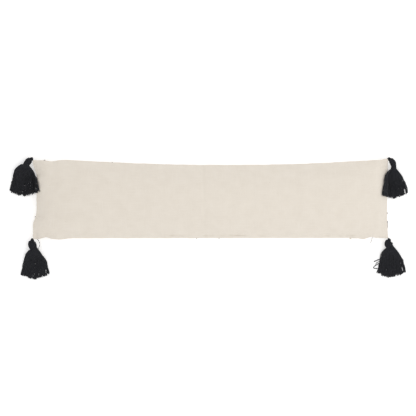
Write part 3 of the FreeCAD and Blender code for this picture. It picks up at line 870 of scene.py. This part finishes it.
    def loose_yarn(self, radius, points):
        """A yarn along points right of the neck, below it and above the floor."""
        places = [np.array([self.neck[0], self.neck[1], 0]) + right * self.right + below * self.down
                  + np.array([0, 0, height]) for right, below, height in points]
        path = resampled(between(between(between(np.array(places)))), 30)[None]
        path[..., 2] = np.maximum(path[..., 2], radius + FLOOR_CLEAR)
        return plied_tubes(path, np.broadcast_to(np.array([0, 0, 1.0]), path.shape), radius, np.zeros(1))

    def stitches(self, corner):
        """Black yarn that sews the loop to the corner: two turns, in at its tip and round the anchor."""
        out = unit(self.anchor - corner)
        across = np.array([-out[1], out[0], 0.0])
        up = np.array([0, 0, 1.0])
        paths, references = [], []
        for slip in (-0.0007, 0.0007):
            points = [corner - 0.004 * out, corner + 0.0006 * out + 0.0014 * up, self.anchor + 0.0029 * up,
                      self.anchor + 0.0003 * out, self.anchor - 0.0029 * up,
                      corner + 0.0006 * out - 0.0014 * up, corner - 0.004 * out]
            path = resampled(between(between(between(np.array(points) + slip * across))), 40)
            paths.append(path)
            references.append(np.broadcast_to(across, path.shape))
        return plied_tubes(np.array(paths), np.array(references), STITCH_RADIUS, np.array([0.0, 2.0]))

    def strand(self, drop, left, right, spread, level):
        """One yarn: sideways place from the fan, height from its layer and from what it lies on."""
        draw = self.random.uniform
        t = drop / drop[-1]
        lock = int((spread + 1) / 2 * LOCKS)
        middle = 2 * (lock + 0.5) / LOCKS - 1
        place = spread - LOCK_PULL * (spread - middle) * smooth_step((t - 0.45) / 0.45)
        beside_gap = np.sign(spread - GAP_PLACE)
        if abs(spread - GAP_PLACE) < 0.12:
            place = place + beside_gap * 0.045 * (bell((t - 0.60) / 0.035) + bell((t - 0.67) / 0.03))
        if spread > 0.90:
            place = place + 0.07 * smooth_step((t - 0.66) / 0.12)
        elif spread > 0.72:
            place = place - 0.05 * smooth_step((t - 0.70) / 0.12)
        sideways = np.where(place < 0, place * left, place * right)
        wave = LONG_WAVE * np.sin(2 * math.pi * (t * draw(1.2, 2.6) + draw(0, 1)))
        wave = wave + SHORT_WAVE * np.sin(2 * math.pi * (t * draw(3, 5) + draw(0, 1)))
        sideways = sideways + wave * smooth_step(t / 0.25)
        start = self.neck + (0.001 - self.pose["raise"]) * self.down
        points = start + drop[:, None] * self.down + sideways[:, None] * self.right
        floor = np.array([self.cover_height(p[0], p[1]) for p in points[::4]])
        floor = self.eased(np.interp(drop, drop[::4], floor))
        neck_z = self.neck[2] + (level - 0.5) * 0.0095
        ply_top = YARN_RADIUS * 1.07 + FLOOR_CLEAR
        heap = level * (SKIRT_THICK - SKIRT_THINNING * t)
        rest_z = ply_top + heap + draw(-0.0004, 0.0004) * (level > 0.2)
        settle = smooth_step(drop / (0.046 + 0.014 * level + 0.5 * (self.neck[2] - 0.019)))
        points[:, 2] = neck_z + (rest_z - neck_z) * settle
        points[:, 2] = np.maximum(points[:, 2], floor + rest_z * (floor > 0.001))
        points[:, 2] = np.maximum(smoothed(points[:, 2], 6), ply_top)
        length = STRAND_LENGTH + self.pose["raise"] + self.lock_lengths[lock] + draw(-0.0045, 0.0030)
        length += 0.0060 * (1 - abs(spread - self.pose["longest"])) - 0.003 * level - 0.002
        if floor.max() > 0.001:
            length += self.climb(points, length)
        return resampled(points, STRAND_STATIONS, length)

    @staticmethod
    def climb(points, length):
        """How much of a yarn of this length goes into rising and falling."""
        steps = np.diff(points, axis=0)
        flat = np.cumsum(np.linalg.norm(steps[:, :2], axis=1))
        run = np.cumsum(np.linalg.norm(steps, axis=1))
        return float(np.interp(length, flat, run - flat))

    @staticmethod
    def eased(floor):
        """What the yarn lies on, with slopes gentle enough for a yarn to follow."""
        steepest = 0.0011
        for order in (range(1, len(floor)), range(len(floor) - 2, -1, -1)):
            for k in order:
                other = floor[k - 1] if order.step == 1 else floor[k + 1]
                floor[k] = max(floor[k], other - steepest)
        return floor


def cover_height_of(upper):
    """Height of the cover's upper skin over a point of the plan, or 0 beside it."""
    rows, columns = upper.shape[:2]
    index = np.arange(rows * columns).reshape(rows, columns)
    tree = BVHTree.FromPolygons([Vector(p) for p in upper.reshape(-1, 3)], quads_of(index, False).tolist())

    def height(x, y):
        hit = tree.ray_cast(Vector((x, y, 1.0)), Vector((0, 0, -1)))[0]
        return hit.z + 0.0015 if hit else 0.0

    return height


# ---- build ----
def build_cover():
    """The cover and, inside it, the insert's case and its fill."""
    upper, lower, coarse = cover_grids()
    cotton = cotton_material()
    cover = cover_piece(upper, lower, cotton)
    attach(cover, "pillow")
    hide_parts("cover_back_panel", "cover_front_panel")
    ticking = ticking_material()
    insert = layer_piece("insert_casing", coarse, 0.004, 0.014, ticking)
    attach(insert, "pillow")
    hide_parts("insert_back_panel", "insert_front_panel")
    fibre = grained_material("polyester_fibre", FIBRE_TONES, 0.9, 220.0)
    fill = layer_piece("fibre_stuffing", coarse, 0.008, 0.019, fibre)
    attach(fill, "pillow")
    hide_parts("fibre_fill")
    return upper, cotton


def build_tassels(upper, cover_height):
    """The pieces of every tassel, in place of its CAD nodes."""
    yarn = yarn_material("charcoal_yarn", CHARCOAL_TONES)
    for name in TASSEL_POSE:
        tassel = Tassel(name, cover_height)
        corner = upper[0 if name[1] == "l" else -1, -1 if name[0] == "t" else 0]
        pieces = [
            (f"corner_stitches_{name}", tassel.stitches(corner), "pillow", f"tassel_{name}_anchor_thread"),
            (f"yarn_loop_{name}", tassel.loop(), f"tassel_{name}_loop", f"tassel_{name}_hanging_loop"),
            (f"yarn_head_{name}", tassel.head(), f"tassel_{name}", f"tassel_{name}_head"),
            (f"yarn_wrap_{name}", tassel.wrap(), f"tassel_{name}", f"tassel_{name}_neck_binding"),
            (f"yarn_skirt_{name}", tassel.skirt(), f"tassel_{name}", f"tassel_{name}_skirt"),
        ]
        for piece_name, (verts, faces, uvs), body, node in pieces:
            piece = new_piece(piece_name, verts, faces, yarn, uvs)
            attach(piece, body)
            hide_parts(node)


def dress_cad_nodes():
    """Materials of the CAD nodes that stay: the zip's."""
    tape = ribbed_material("zip_tape", TAPE_TONES, TAPE_PITCH, 0.85, 0.0001)
    coil = ribbed_material("zip_coil", COIL_TONES, COIL_PITCH, 0.45, 0.0004)
    metal = grained_material("zip_lacquer", LACQUER_TONES, 0.42, 700.0, bump=0.00004)
    choices = {"zipper_tape": tape, "zipper_coil": coil, "zipper_stop": coil, "zipper_slider": metal,
               "zipper_pull_tab": metal}
    for node, piece in frame["nodes"].items():
        for start, material in choices.items():
            if node.startswith(start):
                piece.data.materials.clear()
                piece.data.materials.append(material)


def seam_allowance_piece(upper, material):
    """The overlocked allowances inside the three sewn seams, as one zigzag-edged strip each."""
    seams = ((upper[8:-8, -1], (0.0, -1.0, 0.0)), (upper[0, 16:-16], (1.0, 0.0, 0.0)),
             (upper[-1, 16:-16], (-1.0, 0.0, 0.0)))
    groups = []
    for points, inward in seams:
        inward = np.array(inward)
        edge = ALLOWANCE_EDGE + 0.0005 * (np.arange(len(points)) % 2)[:, None]
        rings = np.stack([
            points + inward * ALLOWANCE_START + np.array([0, 0, 0.0006]),
            points + inward * edge + np.array([0, 0, 0.0008]),
            points + inward * edge - np.array([0, 0, 0.0008]),
            points + inward * ALLOWANCE_START - np.array([0, 0, 0.0006]),
        ], axis=1)
        faces = tube_faces(len(points), 4)
        uv = rings.reshape(-1, 3)[np.concatenate([np.array(f) for f in faces])][:, :2]
        groups.append((rings.reshape(-1, 3), faces, uv))
    verts, faces, uvs = joined(groups)
    piece = new_piece("overlocked_allowance", verts, faces, material, uvs)
    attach(piece, "pillow")
    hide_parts("cover_seam_allowance")


def seam_slivers(upper):
    """Dark slivers at the seams: painted shade where a seam's crevice opens."""
    rows, columns = upper.shape[:2]
    up = np.array([0, 0, 1.0])
    groups = []
    for along, across, length in SEAM_SLIVERS:
        row = int(round((along / FLAT_LENGTH + 0.5) * (rows - 1)))
        column = int(round((across / FLAT_HEIGHT + 0.5) * (columns - 1)))
        if column in (0, columns - 1):
            cells = max(2, int(length / FLAT_LENGTH * (rows - 1)))
            points = upper[row:row + cells, column].copy()
            points[:, 1] += math.copysign(SLIVER_OUT, across)
        else:
            cells = max(2, int(length / FLAT_HEIGHT * (columns - 1)))
            points = upper[row, column:column + cells].copy()
            points[:, 0] += math.copysign(SLIVER_OUT, along)
        path = resampled(points, 12)[None]
        groups.append(plied_tubes(path, np.broadcast_to(up, path.shape), SLIVER_RADIUS, np.zeros(1)))
    verts, faces, uvs = joined(groups)
    # Painted shade: dark yarn-like tubes laid in the seams' crevices.
    slivers = new_piece("seam_shade_slivers", verts, faces, yarn_material("seam_shade", SEAM_SHADE_TONES), uvs)
    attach(slivers, "pillow")


def loose_thread(upper):
    """A loose end of sewing thread that hangs from the zip's seam to the floor."""
    row = int(round((THREAD_TAIL_X / FLAT_LENGTH + 0.5) * (len(upper) - 1)))
    start = upper[row, 0] + np.array([0, 0.002, 0])
    points = [start, start + (0.0003, -0.006, -0.004), start + (-0.0004, -0.011, -0.016),
              start + (0.0006, -0.015, -0.030), start + (-0.0006, -0.0185, start[2] * -0.93 + 0.001),
              start + (-0.0016, -0.0225, -start[2] + 0.0006)]
    path = resampled(between(between(np.array(points))), 32)[None]
    side = np.broadcast_to(np.array([1.0, 0, 0]), path.shape)
    verts, faces, uvs = plied_tubes(path, side, THREAD_TAIL_RADIUS, np.zeros(1))
    tail = new_piece("loose_thread_end", verts, faces, yarn_material("sewing_thread", THREAD_TONES), uvs)
    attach(tail, "pillow")


def build_stage():
    """Pale floor, soft light from all round, a soft key light and the camera straight above."""
    floor_material = bpy.data.materials.new("pale_floor")
    floor_material.use_nodes = True
    shader = floor_material.node_tree.nodes["Principled BSDF"]
    shader.inputs["Base Color"].default_value = (FLOOR_TONE, FLOOR_TONE, FLOOR_TONE, 1)
    shader.inputs["Roughness"].default_value = 0.9
    shader.inputs["Emission Color"].default_value = (1, 1, 1, 1)
    shader.inputs["Emission Strength"].default_value = FLOOR_GLOW
    corners = [(FLOOR_REACH * x, FLOOR_REACH * y, 0) for x, y in ((-1, -1), (1, -1), (1, 1), (-1, 1))]
    floor = new_piece("floor", corners, [(0, 1, 2, 3)], floor_material)

    world = bpy.data.worlds.new("studio")
    world.use_nodes = True
    sky = world.node_tree.nodes["Background"]
    sky.inputs["Color"].default_value = (1, 1, 1, 1)
    sky.inputs["Strength"].default_value = SKY_LIGHT
    bpy.context.scene.world = world

    key = bpy.data.lights.new("key", "AREA")
    key.shape = "RECTANGLE"
    key.size = KEY_SIZE
    key.size_y = KEY_SIZE
    key.energy = KEY_POWER
    key_object = bpy.data.objects.new("key", key)
    key_object.location = KEY_PLACE
    key_object.rotation_euler = (Vector((0, 0, 0)) - key_object.location).to_track_quat("-Z", "Y").to_euler()
    bpy.context.scene.collection.objects.link(key_object)

    camera_data = bpy.data.cameras.new("camera")
    camera_data.sensor_width = SENSOR_WIDTH
    camera_data.lens = SENSOR_WIDTH * CAMERA_ABOVE_SEAM / SEEN_WIDTH
    camera_data.clip_end = 50.0
    camera = bpy.data.objects.new("camera", camera_data)
    camera.location = (*CAMERA_PLACE, SEAM_Z + CAMERA_ABOVE_SEAM)
    bpy.context.scene.collection.objects.link(camera)
    bpy.context.scene.camera = camera
    bpy.context.scene.view_settings.view_transform = "Standard"


build_stage()
upper_grid, cotton = build_cover()
seam_allowance_piece(upper_grid, cotton)
build_tassels(upper_grid, cover_height_of(upper_grid))
seam_slivers(upper_grid)
loose_thread(upper_grid)
dress_cad_nodes()
